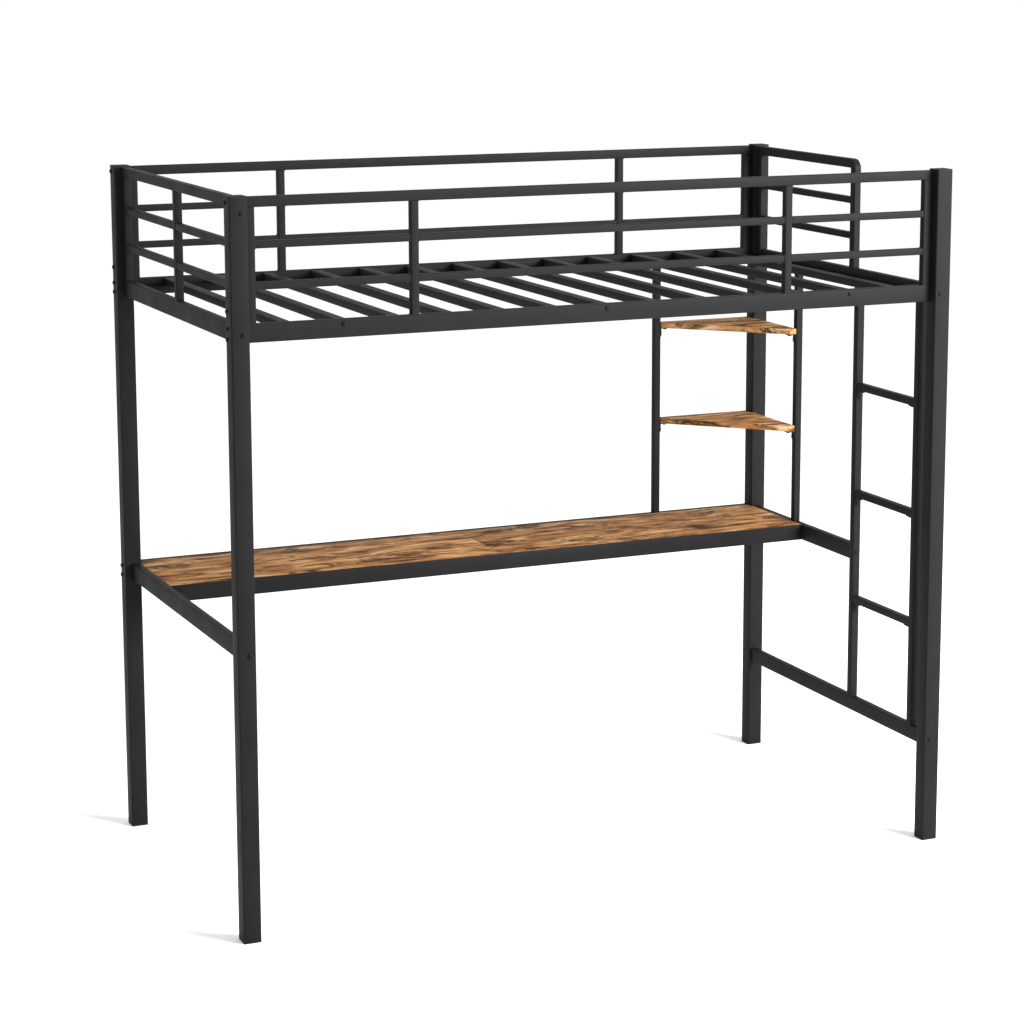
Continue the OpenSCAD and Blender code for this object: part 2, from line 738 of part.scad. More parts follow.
post_front_left();
post_front_right();
post_rear_left();
post_rear_right();
post_top_caps();
post_foot_caps();
front_bed_rail();
front_top_rail();
front_end_uprights();
front_uprights();
front_mid_rails();
rear_bed_rail();
rear_top_rail();
rear_end_uprights();
rear_uprights();
rear_mid_rails();
left_bed_rail();
left_top_rail();
left_end_uprights();
left_centre_upright();
left_mid_rails();
right_bed_rail();
right_guard_hoop();
right_end_upright();
right_mid_rails();
bed_slats();
slat_ledge_front();
slat_ledge_rear();
mattress_ledge_left();
mattress_ledge_right();
slat_inserts();
slat_bolts();
ladder_rear_tube();
ladder_front_tube();
ladder_rungs();
rung_brackets();
rung_bolts();
base_cross_rail();
desk_front_rail();
desk_rear_rail();
desk_left_rail();
desk_right_rail();
desk_supports();
desk_board_left();
desk_board_right();
desk_screws();
shelf_upper();
shelf_lower();
shelf_rear_leg();
shelf_side_leg();
shelf_brackets();
shelf_bolts();
side_frame_bolts();
end_frame_bolts();
desk_ladder_bolt();
side_rail_inserts();
end_rail_inserts();
upright_inserts();
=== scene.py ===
"""Loft bed with a desk and corner shelves, in powder-coated steel tube and rustic laminate.

Each piece is modelled round the CAD frame with Blender's own mesh tools, from the boxes of the
frame's solids, and replaces the plain CAD node that it stands for.
"""
import math
from contextlib import contextmanager

import bmesh
import bpy
from bpy.props import FloatProperty, FloatVectorProperty, IntProperty, PointerProperty
from mathutils import Matrix, Vector


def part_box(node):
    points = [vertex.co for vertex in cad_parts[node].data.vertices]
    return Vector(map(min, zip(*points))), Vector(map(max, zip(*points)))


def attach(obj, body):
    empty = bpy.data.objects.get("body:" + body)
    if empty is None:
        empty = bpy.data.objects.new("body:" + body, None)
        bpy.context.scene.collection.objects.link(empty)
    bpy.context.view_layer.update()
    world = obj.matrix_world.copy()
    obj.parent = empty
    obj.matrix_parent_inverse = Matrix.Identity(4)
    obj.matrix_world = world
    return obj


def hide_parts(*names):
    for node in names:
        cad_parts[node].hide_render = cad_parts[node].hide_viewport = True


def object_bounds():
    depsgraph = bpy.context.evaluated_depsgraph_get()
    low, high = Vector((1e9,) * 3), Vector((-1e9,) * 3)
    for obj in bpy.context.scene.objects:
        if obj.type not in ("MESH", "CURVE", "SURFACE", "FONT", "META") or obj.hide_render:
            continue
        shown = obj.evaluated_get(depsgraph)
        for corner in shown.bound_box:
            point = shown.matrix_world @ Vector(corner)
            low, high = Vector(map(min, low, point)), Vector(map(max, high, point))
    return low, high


bl_info = {
    "name": "Loft Bed With Desk",
    "version": (1, 0, 0),
    "blender": (4, 5, 0),
    "location": "View3D > Sidebar > Loft Bed",
    "description": "Models the finished pieces of a loft bed round its CAD frame",
    "category": "Add Mesh",
}

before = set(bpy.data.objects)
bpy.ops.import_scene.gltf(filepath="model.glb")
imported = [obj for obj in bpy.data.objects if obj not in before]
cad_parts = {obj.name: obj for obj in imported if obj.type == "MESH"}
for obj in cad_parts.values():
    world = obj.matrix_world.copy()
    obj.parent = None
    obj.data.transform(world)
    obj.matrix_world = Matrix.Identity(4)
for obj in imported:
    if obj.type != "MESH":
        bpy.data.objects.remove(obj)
cad_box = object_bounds()

MM = 0.001
X, Y, Z = 0, 1, 2

# Faces that meet at less than this are shaded as one curved face.
SMOOTH_ANGLE = math.radians(35)
# Two places closer than this are the same place.
SAME = 0.01 * MM
# An edge runs along an axis when this share of its length does.
ALONG = 0.99
# A face looks along an axis when this share of its normal does.
FACING = 0.9
# Sections round the long edges of tubes and posts.
CORNER_STEPS = 4
# A bead's side is sunk this far where a neighbour tube hides it.
SUNK = -0.4 * MM
# The ladder tubes are 2 mm wider than the rails they meet, so there it is sunk further.
LADDER_SUNK = -1.4 * MM
# A bead stands out only this far where a tube is nearly flush with its neighbour.
THIN_BEAD = 0.7 * MM


# ---------- Small tools ----------

def linear(code):
    """Linear RGBA of an sRGB hex colour."""
    channels = [int(code[i:i + 2], 16) / 255 for i in (1, 3, 5)]
    curve = [c / 12.92 if c <= 0.04045 else ((c + 0.055) / 1.055) ** 2.4 for c in channels]
    return (*curve, 1.0)


def islands(node):
    """The corner points of each separate solid in a CAD node, sorted by place."""
    mesh = bmesh.new()
    mesh.from_mesh(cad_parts[node].data)
    bmesh.ops.remove_doubles(mesh, verts=mesh.verts, dist=SAME)
    left = set(mesh.verts)
    found = []
    while left:
        reached = [left.pop()]
        for vert in reached:
            for edge in vert.link_edges:
                other = edge.other_vert(vert)
                if other in left:
                    left.remove(other)
                    reached.append(other)
        found.append([vert.co.copy() for vert in reached])
    mesh.free()
    return sorted(found, key=lambda points: tuple(round(v, 4) for v in box_of(points)[0]))


def box_of(points):
    """Lowest and highest corner of a cloud of points."""
    low = Vector([min(p[i] for p in points) for i in range(3)])
    high = Vector([max(p[i] for p in points) for i in range(3)])
    return low, high


def solids(node):
    """Lowest and highest corner of each separate solid in a CAD node."""
    return [box_of(points) for points in islands(node)]


def others(axis):
    """The two axes across an axis."""
    return [i for i in range(3) if i != axis]


def new_cube(low, high):
    """A cube added at its size and place, with that place in its mesh."""
    bpy.ops.object.select_all(action="DESELECT")
    bpy.ops.mesh.primitive_cube_add(size=1, location=(low + high) / 2, scale=high - low)
    bpy.ops.object.transform_apply(location=True, rotation=False, scale=True)
    return bpy.context.object


def make_active(obj):
    """Selects one object and nothing else."""
    bpy.ops.object.select_all(action="DESELECT")
    obj.select_set(True)
    bpy.context.view_layer.objects.active = obj


@contextmanager
def editing(obj, kind):
    """Edit mode on one object with nothing selected, in EDGE or FACE mode."""
    make_active(obj)
    bpy.ops.object.mode_set(mode="EDIT")
    bpy.ops.mesh.select_mode(type=kind)
    bpy.ops.mesh.select_all(action="DESELECT")
    yield
    bpy.ops.object.mode_set(mode="OBJECT")


def pick(obj, kind, test):
    """Selects the edges or faces for which the test is true."""
    mesh = bmesh.from_edit_mesh(obj.data)
    for item in getattr(mesh, kind):
        if test(item):
            item.select_set(True)
    mesh.select_flush_mode()
    bmesh.update_edit_mesh(obj.data)


def runs_along(axis):
    """A test for edges along an axis."""
    def test(edge):
        step = edge.verts[1].co - edge.verts[0].co
        return abs(step[axis]) > ALONG * step.length
    return test


def faces_to(axis, side):
    """A test for faces that look up or down an axis."""
    return lambda face: face.normal[axis] * side > FACING


def join(pieces):
    """One object out of several."""
    bpy.ops.object.select_all(action="DESELECT")
    for piece in pieces:
        piece.select_set(True)
    bpy.context.view_layer.objects.active = pieces[0]
    if len(pieces) > 1:
        bpy.ops.object.join()
    return pieces[0]


def cut(axis, place):
    """Cuts the mesh in edit mode across an axis, which leaves its faces split there."""
    point = Vector((0, 0, 0))
    normal = Vector((0, 0, 0))
    point[axis] = place
    normal[axis] = 1
    bpy.ops.mesh.select_all(action="SELECT")
    bpy.ops.mesh.bisect(plane_co=point, plane_no=normal)
    bpy.ops.mesh.select_all(action="DESELECT")


def apply_modifier(obj, kind, **settings):
    """Adds a modifier with its settings and applies it."""
    make_active(obj)
    bpy.ops.object.modifier_add(type=kind)
    modifier = obj.modifiers[-1]
    for key, value in settings.items():
        setattr(modifier, key, value)
    bpy.ops.object.modifier_apply(modifier=modifier.name)


def hand_over(piece, name, node, material):
    """Names a finished piece, gives it its material and puts it in the CAD node's stead."""
    piece.name = name
    piece.data.name = name
    piece.data.materials.clear()
    piece.data.materials.append(material)
    with editing(piece, "FACE"):
        bpy.ops.mesh.select_all(action="SELECT")
        bpy.ops.mesh.normals_make_consistent(inside=False)
    bpy.ops.object.shade_smooth_by_angle(angle=SMOOTH_ANGLE)
    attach(piece, "root")
    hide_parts(node)
    return piece


# ---------- Materials ----------

def add_node(tree, kind, inputs=None, **settings):
    """Adds a node, sets it, and fills its inputs with values or with links from sockets."""
    node = tree.nodes.new(kind)
    for key, value in settings.items():
        setattr(node, key, value)
    for key, value in (inputs or {}).items():
        if isinstance(value, bpy.types.NodeSocket):
            tree.links.new(value, node.inputs[key])
        else:
            node.inputs[key].default_value = value
    return node


def ramp(tree, factor, stops):
    """A colour ramp; stops are pairs of position and linear colour."""
    node = add_node(tree, "ShaderNodeValToRGB", {"Fac": factor})
    marks = node.color_ramp.elements
    while len(marks) < len(stops):
        marks.new(0.5)
    for mark, (place, colour) in zip(marks, stops):
        mark.position = place
        mark.color = colour
    return node


def new_material(name):
    """A new material, with its tree and its plain Principled shader."""
    material = bpy.data.materials.get(name)
    if material:
        bpy.data.materials.remove(material)
    material = bpy.data.materials.new(name)
    material.use_nodes = True
    tree = material.node_tree
    return material, tree, tree.nodes["Principled BSDF"]


def grey(value):
    """Linear RGBA of a grey."""
    return (value, value, value, 1.0)


def per_metre(size_mm):
    """Noise scale, in cells per metre, for a pattern of that size in millimetres."""
    return 1000 / size_mm


def powder_coated_steel(settings):
    """Mild steel tube under baked polyester powder. The coat is satin and near black, pebbled
    like orange peel, and a little cloudy in its colour and gloss."""
    material, tree, shader = new_material("powder_coated_steel")
    place = add_node(tree, "ShaderNodeTexCoord").outputs["Object"]
    # Real orange peel is about 1 mm across; it is drawn at 2.4 mm so that it shows.
    peel = add_node(tree, "ShaderNodeTexNoise",
                    {"Vector": place, "Scale": per_metre(2.4), "Detail": 2.0})
    cloud = add_node(tree, "ShaderNodeTexNoise",
                     {"Vector": place, "Scale": per_metre(90), "Detail": 3.0})
    tone = ramp(tree, cloud.outputs["Fac"],
                [(0.3, settings.coat_dark), (0.7, settings.coat_colour)])
    gloss = add_node(tree, "ShaderNodeMapRange",
                     {"Value": cloud.outputs["Fac"], "From Min": 0.3, "From Max": 0.7,
                      "To Min": settings.coat_roughness - 0.04,
                      "To Max": settings.coat_roughness + 0.06})
    bump = add_node(tree, "ShaderNodeBump",
                    {"Height": peel.outputs["Fac"], "Strength": 0.14, "Distance": 0.2 * MM})
    tree.links.new(tone.outputs["Color"], shader.inputs["Base Color"])
    tree.links.new(gloss.outputs["Result"], shader.inputs["Roughness"])
    tree.links.new(bump.outputs["Normal"], shader.inputs["Normal"])
    shader.inputs["Specular IOR Level"].default_value = settings.coat_shine
    return material


def rustic_laminate(settings):
    """Melamine paper printed as weathered fir on particle board. Long brown streaks run with the
    board, with lighter fibres, dark smoky patches, knots and short fine cracks; the face is matt."""
    material, tree, shader = new_material("rustic_laminate")
    place = add_node(tree, "ShaderNodeUVMap", uv_map="grain").outputs["UV"]
    # Grain wanders sideways a few millimetres over a hand's length.
    drift = add_node(tree, "ShaderNodeMapping",
                     {"Vector": place, "Scale": (per_metre(260), per_metre(140), 1.0)})
    wander = add_node(tree, "ShaderNodeTexNoise",
                      {"Vector": drift.outputs["Vector"], "Scale": 1.0, "Detail": 3.0})
    shift = add_node(tree, "ShaderNodeVectorMath",
                     {0: wander.outputs["Color"], 1: (0.02, 0.035, 0.0)}, operation="MULTIPLY")
    bent = add_node(tree, "ShaderNodeVectorMath",
                    {0: place, 1: shift.outputs["Vector"]}, operation="ADD").outputs["Vector"]

    def streaks(long_mm, wide_mm, detail, rough=0.6, warp=0.0):
        scaled = add_node(tree, "ShaderNodeMapping",
                          {"Vector": bent, "Scale": (per_metre(long_mm), per_metre(wide_mm), 1)})
        return add_node(tree, "ShaderNodeTexNoise",
                        {"Vector": scaled.outputs["Vector"], "Scale": 1.0, "Detail": detail,
                         "Roughness": rough, "Distortion": warp}).outputs["Fac"]

    # Broad figure 28 mm wide, smoky patches 50 mm wide, fibres 4 mm wide, cracks along the rings.
    figure = streaks(170, 28, 5.0, 0.62, 0.9)
    smoke = streaks(115, 50, 6.0, 0.66, 0.8)
    fibre = streaks(40, 4.0, 3.0, 0.7)
    ring = streaks(120, 26, 3.0, 0.5, 1.0)
    base = ramp(tree, figure, [(0.32, settings.wood_dark), (0.42, settings.wood_brown),
                               (0.5, settings.wood_mid), (0.58, settings.wood_tan),
                               (0.68, settings.wood_light)])
    smoky = ramp(tree, smoke, [(0.52, grey(0.0)), (0.57, grey(0.45)), (0.64, grey(0.95))])
    shaded = add_node(tree, "ShaderNodeMix",
                      {"Factor": smoky.outputs["Color"], "A": base.outputs["Color"],
                       "B": settings.wood_dark}, data_type="RGBA")
    return finish_laminate(settings, material, tree, shader, bent, shaded, fibre, ring, smoke)


def finish_laminate(settings, material, tree, shader, bent, shaded, fibre, ring, smoke):
    """Adds fibres, knots and cracks to the laminate's broad colour, and its faint relief."""
    fine = add_node(tree, "ShaderNodeMapRange",
                    {"Value": fibre, "From Min": 0.3, "From Max": 0.7, "To Min": 0.85,
                     "To Max": 1.08})
    fibred = add_node(tree, "ShaderNodeVectorMath",
                      {0: shaded.outputs["Result"], "Scale": fine.outputs["Result"]},
                      operation="SCALE")
    # Knots with a dark core about 14 mm long, one to each cell of 170 by 120 mm.
    cells = add_node(tree, "ShaderNodeMapping",
                     {"Vector": bent, "Scale": (per_metre(170), per_metre(120), 1.0)})
    knot = add_node(tree, "ShaderNodeTexVoronoi",
                    {"Vector": cells.outputs["Vector"], "Scale": 1.0, "Randomness": 1.0})
    knotted = ramp(tree, knot.outputs["Distance"],
                   [(0.04, grey(1.0)), (0.09, grey(0.65)), (0.22, grey(0.0))])
    with_knots = add_node(tree, "ShaderNodeMix",
                          {"Factor": knotted.outputs["Color"], "A": fibred.outputs["Vector"],
                           "B": settings.wood_knot}, data_type="RGBA")
    # Cracks are thin lines along the growth rings, in and close round the smoky patches.
    line = ramp(tree, ring, [(0.472, grey(0.0)), (0.495, grey(1.0)), (0.505, grey(1.0)),
                             (0.528, grey(0.0))])
    where = ramp(tree, smoke, [(0.47, grey(0.0)), (0.55, grey(0.95))])
    split = add_node(tree, "ShaderNodeVectorMath",
                     {0: line.outputs["Color"], 1: where.outputs["Color"]},
                     operation="MULTIPLY")
    cracked = add_node(tree, "ShaderNodeMix",
                       {"Factor": split.outputs["Vector"], "A": with_knots.outputs["Result"],
                        "B": settings.wood_knot}, data_type="RGBA")
    gloss = add_node(tree, "ShaderNodeMapRange",
                     {"Value": fibre, "From Min": 0.3, "From Max": 0.7, "To Min": 0.7,
                      "To Max": 0.58})
    bump = add_node(tree, "ShaderNodeBump",
                    {"Height": fibre, "Strength": 0.25, "Distance": 0.15 * MM})
    tree.links.new(cracked.outputs["Result"], shader.inputs["Base Color"])
    tree.links.new(gloss.outputs["Result"], shader.inputs["Roughness"])
    tree.links.new(bump.outputs["Normal"], shader.inputs["Normal"])
    shader.inputs["Specular IOR Level"].default_value = 0.05
    return material


def moulded_polyethylene(settings):
    """Black LDPE end caps from a mould. The skin is matt and slightly waxy with a fine spark
    texture, greyer than the steel where light grazes it."""
    material, tree, shader = new_material("moulded_polyethylene")
    place = add_node(tree, "ShaderNodeTexCoord").outputs["Object"]
    # Spark texture is about 0.3 mm; it is drawn at 0.9 mm so that it shows.
    spark = add_node(tree, "ShaderNodeTexNoise",
                     {"Vector": place, "Scale": per_metre(0.9), "Detail": 1.0})
    tone = ramp(tree, spark.outputs["Fac"],
                [(0.3, settings.cap_dark), (0.7, settings.cap_colour)])
    bump = add_node(tree, "ShaderNodeBump",
                    {"Height": spark.outputs["Fac"], "Strength": 0.2, "Distance": 0.1 * MM})
    tree.links.new(tone.outputs["Color"], shader.inputs["Base Color"])
    tree.links.new(bump.outputs["Normal"], shader.inputs["Normal"])
    shader.inputs["Roughness"].default_value = 0.6
    shader.inputs["Specular IOR Level"].default_value = 0.1
    return material


def black_oxide_steel(settings):
    """Alloy steel screws blackened in a hot oxide bath. The film is deep black and dry, with a
    soft metallic sheen where the head was turned."""
    material, tree, shader = new_material("black_oxide_steel")
    place = add_node(tree, "ShaderNodeTexCoord").outputs["Object"]
    # Turning marks about 0.2 mm apart are drawn at 0.8 mm.
    film = add_node(tree, "ShaderNodeTexNoise",
                    {"Vector": place, "Scale": per_metre(0.8), "Detail": 2.0})
    tone = ramp(tree, film.outputs["Fac"],
                [(0.35, settings.bolt_dark), (0.65, settings.bolt_colour)])
    gloss = add_node(tree, "ShaderNodeMapRange",
                     {"Value": film.outputs["Fac"], "To Min": 0.42, "To Max": 0.6})
    tree.links.new(tone.outputs["Color"], shader.inputs["Base Color"])
    tree.links.new(gloss.outputs["Result"], shader.inputs["Roughness"])
    shader.inputs["Metallic"].default_value = 0.2
    shader.inputs["Specular IOR Level"].default_value = 0.15
    return material


def studio_paper(settings):
    """Matt white background paper, with a faint unevenness."""
    material, tree, shader = new_material("studio_paper")
    place = add_node(tree, "ShaderNodeTexCoord").outputs["Object"]
    mottle = add_node(tree, "ShaderNodeTexNoise",
                      {"Vector": place, "Scale": per_metre(600), "Detail": 2.0})
    tone = ramp(tree, mottle.outputs["Fac"],
                [(0.3, grey(0.95)), (0.7, grey(0.96))])
    tree.links.new(tone.outputs["Color"], shader.inputs["Base Color"])
    shader.inputs["Roughness"].default_value = 0.9
    shader.inputs["Specular IOR Level"].default_value = 0.1
    return material


def finish_of(maker):
    """The material that a function makes, made once."""
    return bpy.data.materials.get(maker.__name__) or maker(bpy.context.scene.loft_finish)


# ---------- Pieces that repeat ----------

def tube(low, high, axis, corner):
    """A square tube: a block whose long edges are rounded."""
    piece = new_cube(low, high)
    with editing(piece, "EDGE"):
        pick(piece, "edges", runs_along(axis))
        bpy.ops.mesh.bevel(offset=corner, segments=CORNER_STEPS, affect="EDGES")
    return piece


def weld(low, high, axis, side, grow):
    """A chamfered bead where a tube's end meets another; grow says how far it spreads."""
    depth = bpy.context.scene.loft_steel.weld
    start, stop = low.copy(), high.copy()
    if side > 0:
        start[axis] = high[axis] - depth
    else:
        stop[axis] = low[axis] + depth
    shrink = Vector((1, 1, 1))
    for i in others(axis):
        start[i] -= grow[i]
        stop[i] += grow[i]
        if grow[i] > 0:
            shrink[i] = (high[i] - low[i]) / (stop[i] - start[i])
    bead = new_cube(start, stop)
    centre = (start + stop) / 2
    centre[axis] = start[axis] if side > 0 else stop[axis]
    with editing(bead, "FACE"):
        pick(bead, "faces", faces_to(axis, -side))
        bpy.ops.transform.resize(value=shrink, center_override=centre)
        bpy.ops.mesh.select_all(action="SELECT")
        bpy.ops.mesh.bevel(offset=depth * 0.25, segments=2, affect="EDGES")
    return bead


def tube_node(node, axis, grow=None, corner=None):
    """Every tube of a CAD node, with weld beads at the ends where grow is given."""
    corner = corner or bpy.context.scene.loft_steel.rail_corner
    parts = []
    for low, high in solids(node):
        parts.append(tube(low, high, axis, corner))
        if grow is not None:
            parts += [weld(low, high, axis, side, grow) for side in (-1, 1)]
    return hand_over(join(parts), "coated_" + node, node,
                     finish_of(powder_coated_steel))


def angle_bar(node, across, side, flat_top):
    """An angle: its upright leg, and a flat leg extruded from a strip of it below flat_top."""
    steel = bpy.context.scene.loft_steel
    low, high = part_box(node)
    start, stop = low.copy(), high.copy()
    if side > 0:
        stop[across] = low[across] + steel.plate
    else:
        start[across] = high[across] - steel.plate
    piece = new_cube(start, stop)
    flat_under = flat_top - steel.plate
    with editing(piece, "FACE"):
        for level in (flat_under, flat_top):
            if low.z + SAME < level < high.z - SAME:
                cut(Z, level)
        pick(piece, "faces", lambda face: faces_to(across, side)(face)
             and flat_under < face.calc_center_median().z < flat_top)
        run = Vector((0, 0, 0))
        run[across] = side * ((high - low)[across] - steel.plate)
        bpy.ops.mesh.extrude_region_move(TRANSFORM_OT_translate={"value": run})
    apply_modifier(piece, "BEVEL", width=steel.edge, segments=2, limit_method="ANGLE")
    return hand_over(piece, "coated_" + node, node, finish_of(powder_coated_steel))


# ---------- Settings ----------

class LoftSteelSettings(bpy.types.PropertyGroup):
    rail_corner: FloatProperty(
        name="Rail corner", description="Outer corner radius of rails, guards and slats",
        default=2 * MM, min=0.5 * MM, max=4 * MM, unit="LENGTH")
    post_corner: FloatProperty(
        name="Post corner", description="Outer corner radius of the posts",
        default=3 * MM, min=1 * MM, max=6 * MM, unit="LENGTH")
    weld: FloatProperty(
        name="Weld bead", description="Width of the weld beads at the tube ends",
        default=2.2 * MM, min=1 * MM, max=4 * MM, unit="LENGTH")
    edge: FloatProperty(
        name="Plate edge", description="Rounding on the edges of plates and brackets",
        default=0.5 * MM, min=0.1 * MM, max=1 * MM, unit="LENGTH")
    plate: FloatProperty(
        name="Plate", description="Thickness of the ledges and of the desk's front angle",
        default=2 * MM, min=1 * MM, max=4 * MM, unit="LENGTH")
    bracket_plate: FloatProperty(
        name="Bracket plate", description="Thickness of the small brackets",
        default=2.5 * MM, min=1 * MM, max=4 * MM, unit="LENGTH")
    cap_rim: FloatProperty(
        name="Cap rim", description="Rounding on the outer edge of caps and feet",
        default=0.9 * MM, min=0.2 * MM, max=2 * MM, unit="LENGTH")
    bend_steps: IntProperty(
        name="Bend steps", description="Sections round the bend of the guard hoop",
        default=16, min=6, max=48)


class LoftBoardSettings(bpy.types.PropertyGroup):
    edge: FloatProperty(
        name="Board edge", description="Rounding on the edges of the boards",
        default=0.5 * MM, min=0.2 * MM, max=2 * MM, unit="LENGTH")
    notch_gap: FloatProperty(
        name="Notch gap", description="Gap round the posts where a board is notched",
        default=1 * MM, min=0.2 * MM, max=3 * MM, unit="LENGTH")
    shelf_tip: FloatProperty(
        name="Shelf tip", description="Width of a shelf's tips at its legs",
        default=20 * MM, min=10 * MM, max=40 * MM, unit="LENGTH")
    grain_offset: FloatProperty(
        name="Grain offset", description="How far the grain shifts from board to board",
        default=1.9, min=0, max=5, unit="LENGTH")


class LoftFinishSettings(bpy.types.PropertyGroup):
    coat_colour: FloatVectorProperty(
        name="Coat", description="Colour of the powder coat", subtype="COLOR", size=4,
        min=0, max=1, default=linear("#161617"))
    coat_dark: FloatVectorProperty(
        name="Coat, darker", description="Darker clouding of the powder coat", subtype="COLOR",
        size=4, min=0, max=1, default=linear("#121213"))
    coat_roughness: FloatProperty(
        name="Coat roughness", description="Roughness of the powder coat",
        default=0.55, min=0, max=1, subtype="FACTOR")
    coat_shine: FloatProperty(
        name="Coat shine", description="Specular level of the powder coat",
        default=0.068, min=0, max=1, subtype="FACTOR")
    wood_light: FloatVectorProperty(
        name="Wood, light", description="Lightest streaks of the laminate", subtype="COLOR",
        size=4, min=0, max=1, default=linear("#bb9a78"))
    wood_tan: FloatVectorProperty(
        name="Wood, tan", description="Light brown of the laminate", subtype="COLOR",
        size=4, min=0, max=1, default=linear("#a0784d"))
    wood_mid: FloatVectorProperty(
        name="Wood, middle", description="Main brown of the laminate", subtype="COLOR",
        size=4, min=0, max=1, default=linear("#8d6237"))
    wood_brown: FloatVectorProperty(
        name="Wood, brown", description="Darker brown of the laminate", subtype="COLOR",
        size=4, min=0, max=1, default=linear("#74492a"))
    wood_dark: FloatVectorProperty(
        name="Wood, dark", description="Smoky streaks of the laminate", subtype="COLOR",
        size=4, min=0, max=1, default=linear("#352313"))
    wood_knot: FloatVectorProperty(
        name="Knots", description="Knots and cracks of the laminate", subtype="COLOR",
        size=4, min=0, max=1, default=linear("#22150d"))
    cap_colour: FloatVectorProperty(
        name="Caps", description="Colour of the plastic caps and feet", subtype="COLOR",
        size=4, min=0, max=1, default=linear("#161617"))
    cap_dark: FloatVectorProperty(
        name="Caps, darker", description="Darker specks of the plastic", subtype="COLOR",
        size=4, min=0, max=1, default=linear("#0e0e0f"))
    bolt_colour: FloatVectorProperty(
        name="Bolts", description="Colour of the bolt heads", subtype="COLOR",
        size=4, min=0, max=1, default=linear("#101011"))
    bolt_dark: FloatVectorProperty(
        name="Bolts, darker", description="Darker film on the bolt heads", subtype="COLOR",
        size=4, min=0, max=1, default=linear("#08080a"))


class LoftStageSettings(bpy.types.PropertyGroup):
    camera_place: FloatVectorProperty(
        name="Camera", description="Place of the camera", size=3, subtype="XYZ", unit="LENGTH",
        default=(-2.919, -6.663, 2.403))
    camera_pitch: FloatProperty(
        name="Pitch", description="How far the camera looks down", subtype="ANGLE",
        default=math.radians(9.98))
    camera_yaw: FloatProperty(
        name="Yaw", description="How far the camera turns from straight back to the right",
        subtype="ANGLE", default=math.radians(24.3))
    lens: FloatProperty(
        name="Lens", description="Focal length on a 36 mm wide sensor", default=96.4, min=10,
        max=300)
    shift: FloatVectorProperty(
        name="Shift", description="Lens shift that frames the bed, as a share of the width",
        size=2, default=(-0.045, -0.08))
    key_place: FloatVectorProperty(
        name="Key place", description="Place of the soft light at the front right", size=3,
        subtype="XYZ", unit="LENGTH", default=(3.4, -4.6, 3.0))
    key_size: FloatProperty(
        name="Key size", description="Side of the soft light", default=2.6, min=0.1,
        unit="LENGTH")
    key_power: FloatProperty(
        name="Key", description="Power of the soft light at the front right", default=1000, min=0)
    floor_size: FloatProperty(
        name="Floor", description="Side of the paper floor, which runs to the horizon",
        default=500, min=10, unit="LENGTH")
    surround: FloatProperty(
        name="Surround", description="Brightness of the white surround", default=1.05, min=0)


# ---------- Operators ----------

class LOFT_OT_posts(bpy.types.Operator):
    """Four square posts with rounded corners"""
    bl_idname = "loft.posts"
    bl_label = "Posts"

    def execute(self, context):
        corner = context.scene.loft_steel.post_corner
        for end in ("front_left", "front_right", "rear_left", "rear_right"):
            tube_node("post_" + end, Z, corner=corner)
        return {"FINISHED"}


class LOFT_OT_caps(bpy.types.Operator):
    """Moulded caps on the posts and feet under them, each with a soft outer edge"""
    bl_idname = "loft.caps"
    bl_label = "Caps and feet"

    def cap(self, low, high, side, tube_end):
        """A plate that covers the tube's end, with its upright and outer edges rounded."""
        start, stop = low.copy(), high.copy()
        if side > 0:
            start[Z] = tube_end
        else:
            stop[Z] = tube_end
        steel = bpy.context.scene.loft_steel
        piece = tube(start, stop, Z, steel.post_corner)
        outer = high.z if side > 0 else low.z
        with editing(piece, "EDGE"):
            pick(piece, "edges", lambda edge: all(
                abs(v.co.z - outer) < SAME for v in edge.verts))
            bpy.ops.mesh.bevel(offset=steel.cap_rim, segments=3, affect="EDGES")
        return piece

    def execute(self, context):
        tube_low, tube_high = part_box("post_front_left")
        material = finish_of(moulded_polyethylene)
        for node, side, end in (("post_top_caps", 1, tube_high.z),
                                ("post_foot_caps", -1, tube_low.z)):
            caps = [self.cap(low, high, side, end) for low, high in solids(node)]
            hand_over(join(caps), "moulded_" + node, node, material)
        return {"FINISHED"}


class LOFT_OT_side_frames(bpy.types.Operator):
    """Front and rear guard frames: rails, uprights and middle rails with their welds"""
    bl_idname = "loft.side_frames"
    bl_label = "Side frames"

    def execute(self, context):
        bead = context.scene.loft_steel.weld
        for side in ("front_", "rear_"):
            tube_node(side + "bed_rail", X)
            tube_node(side + "top_rail", X)
            tube_node(side + "end_uprights", Z, (SUNK, SUNK, 0))
            tube_node(side + "uprights", Z, (bead, SUNK, 0))
            tube_node(side + "mid_rails", X, (0, THIN_BEAD, bead))
        return {"FINISHED"}


class LOFT_OT_end_frames(bpy.types.Operator):
    """Left end frame and the straight tubes of the right end, with their welds"""
    bl_idname = "loft.end_frames"
    bl_label = "End frames"

    def execute(self, context):
        bead = context.scene.loft_steel.weld
        tube_node("left_bed_rail", Y)
        tube_node("left_top_rail", Y)
        tube_node("left_end_uprights", Z, (SUNK, SUNK, 0))
        tube_node("left_centre_upright", Z, (SUNK, bead, 0))
        tube_node("left_mid_rails", Y, (THIN_BEAD, 0, bead))
        tube_node("right_bed_rail", Y)
        tube_node("right_end_upright", Z, (SUNK, SUNK, 0))
        tube_node("right_mid_rails", Y, (THIN_BEAD, 0, bead))
        return {"FINISHED"}


